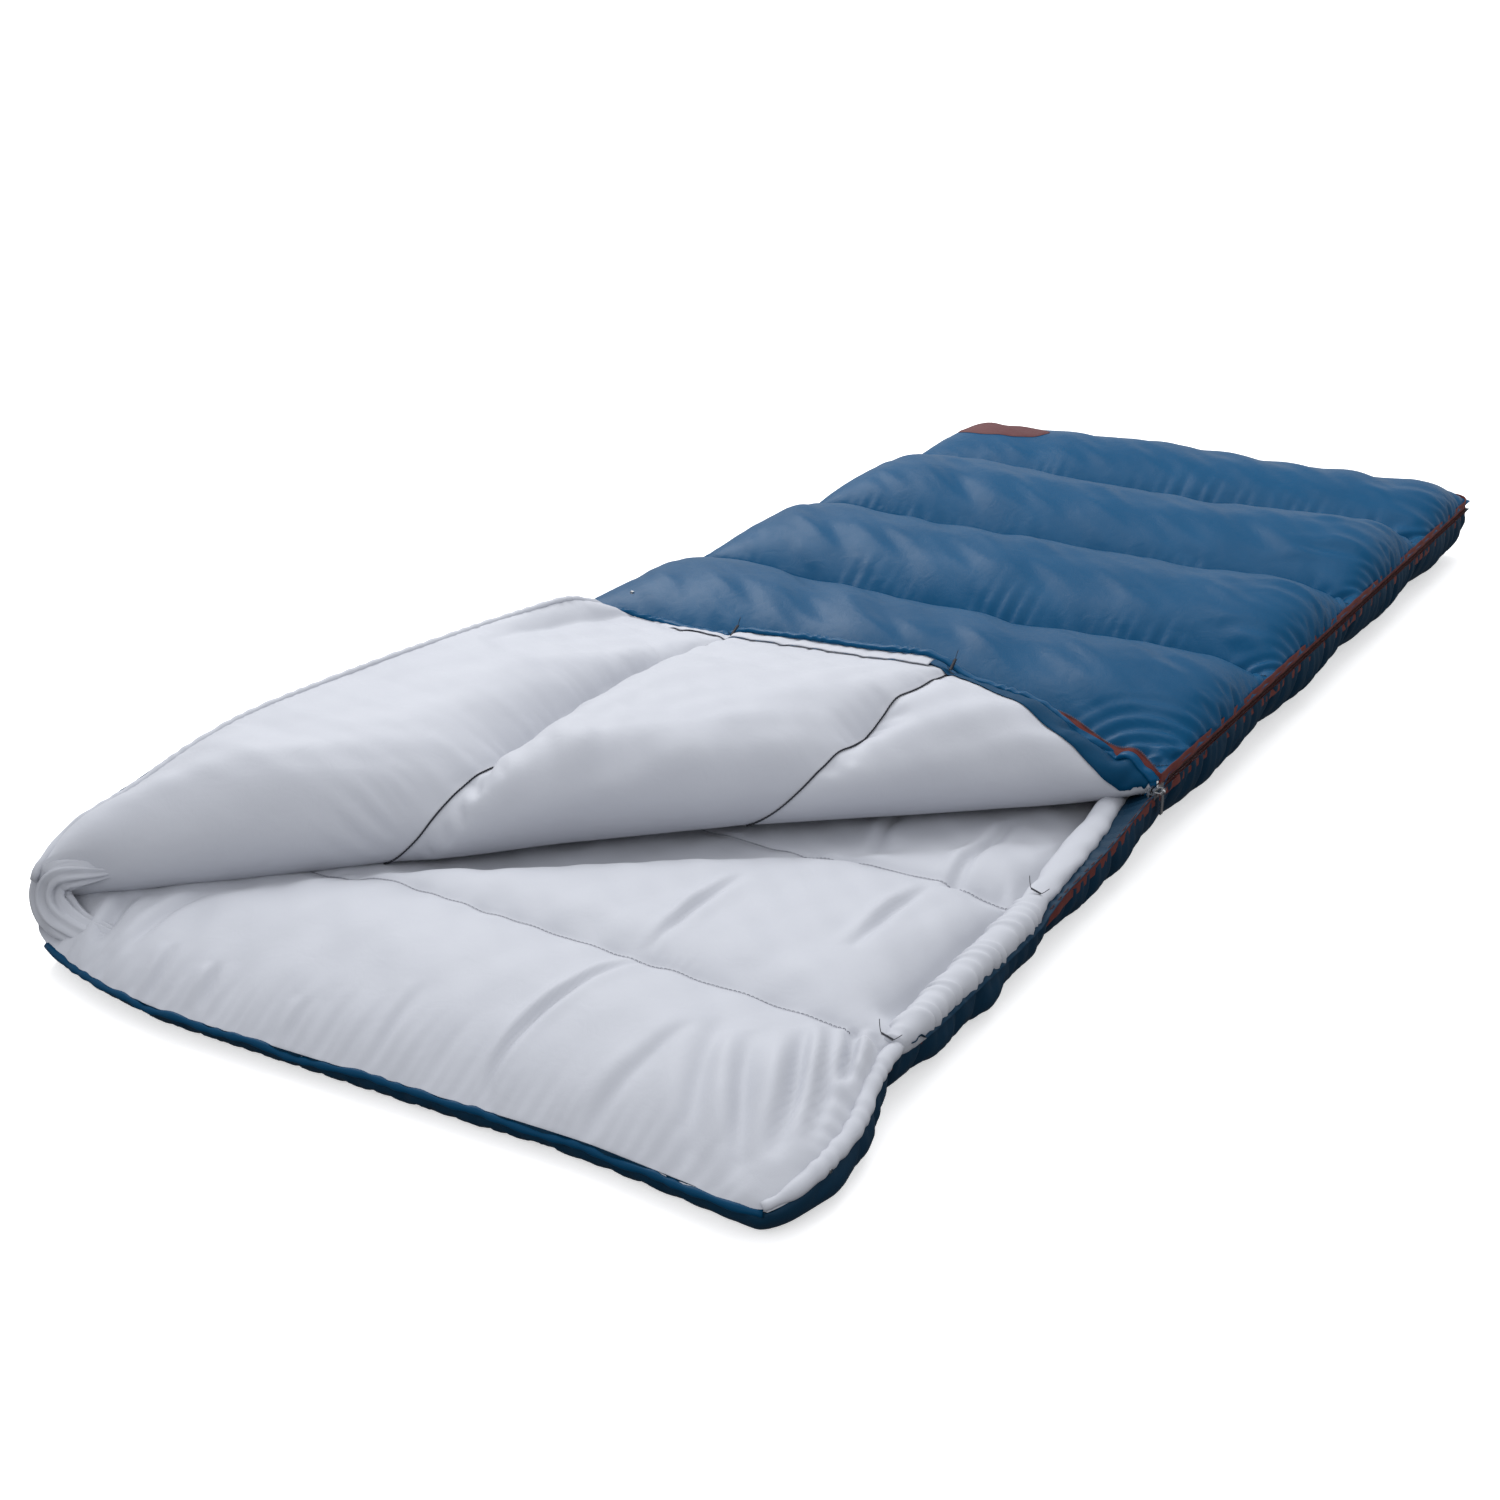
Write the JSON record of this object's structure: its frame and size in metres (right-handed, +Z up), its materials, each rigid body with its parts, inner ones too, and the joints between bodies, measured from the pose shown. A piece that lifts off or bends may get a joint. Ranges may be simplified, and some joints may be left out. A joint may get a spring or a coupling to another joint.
{
  "type": "rectangular sleeping bag",
  "caption": "Rectangular quilted sleeping bag with a side and foot zip, a sliding zip pull and a head corner that folds back and closes over the sleeper.",
  "frame": {"origin": "middle of the footprint on the ground, with the bag lying on its back quilt", "axes": "+X towards the zip side, +Y from the open head to the foot, +Z up"},
  "size_m": [0.81, 1.9034, 0.151],
  "materials": {
    "shell_fabric": "satin woven polyester, calendered, light puckering",
    "lining_fabric": "soft brushed polyester with a slight sheen",
    "filling": "bonded hollow-fibre wadding",
    "zip_tape_fabric": "woven polyester zip tape, matt",
    "zip_coil_plastic": "wound nylon monofilament coil",
    "thread": "polyester sewing thread",
    "slider_metal": "nickel plated die-cast zinc",
    "patch_fabric": "stitched reinforcing cloth"
  },
  "bodies": {
    "bag": {"outer_shell_bottom": "shell_fabric", "insulation_bottom": "filling", "lining_bottom": "lining_fabric", "head_hem_bottom": "shell_fabric", "outer_shell_fold": "shell_fabric", "insulation_fold": "filling", "lining_fold": "lining_fabric", "lining_top": "lining_fabric", "insulation_top": "filling", "outer_shell_top": "shell_fabric", "corner_patch": "patch_fabric", "zip_facing_bottom_side": "shell_fabric", "zip_facing_bottom_foot": "shell_fabric", "zip_facing_top_side": "shell_fabric", "zip_facing_top_foot": "shell_fabric", "zip_tape_bottom": "zip_tape_fabric", "zip_tape_top": "zip_tape_fabric", "zip_coil_bottom": "zip_coil_plastic", "zip_coil_top": "zip_coil_plastic", "zip_stop_bottom": "slider_metal", "retaining_box": "slider_metal", "insertion_pin": "slider_metal", "draft_tube_cover": "lining_fabric", "draft_tube_filling": "filling", "quilting_thread_bottom": "thread", "quilting_thread_top": "thread", "bar_tacks_bottom": "thread"},
    "flap": {"flap_lining": "lining_fabric", "flap_insulation": "filling", "flap_outer_shell": "shell_fabric", "flap_zip_facing": "shell_fabric", "flap_zip_tape": "zip_tape_fabric", "flap_zip_coil": "zip_coil_plastic", "flap_zip_stop": "slider_metal", "flap_head_hem": "shell_fabric", "flap_quilting_thread": "thread", "flap_bar_tacks": "thread"},
    "slider": {"slider_body": "slider_metal"},
    "outer_pull": {"outer_pull": "slider_metal"},
    "inner_pull": {"inner_pull": "slider_metal"}
  },
  "joints": [
    {"name": "flap_fold", "type": "hinge", "parent": "bag", "child": "flap", "pos_m": [-0.4049, -0.9507, 0.11], "axis": [0.7433, 0.669, 0], "range_deg": [0, 180]},
    {"name": "slider_slide", "type": "slide", "parent": "bag", "child": "slider", "axis": [0, 1, 0], "range_m": [-0.677, 1.135]},
    {"name": "outer_pull_swing", "type": "hinge", "parent": "slider", "child": "outer_pull", "pos_m": [0.4022, -0.2307, 0.075], "axis": [0, -1, 0], "range_deg": [0, 150]},
    {"name": "inner_pull_swing", "type": "hinge", "parent": "slider", "child": "inner_pull", "pos_m": [0.3876, -0.2307, 0.075], "axis": [0, 1, 0], "range_deg": [0, 60]}
  ]
}
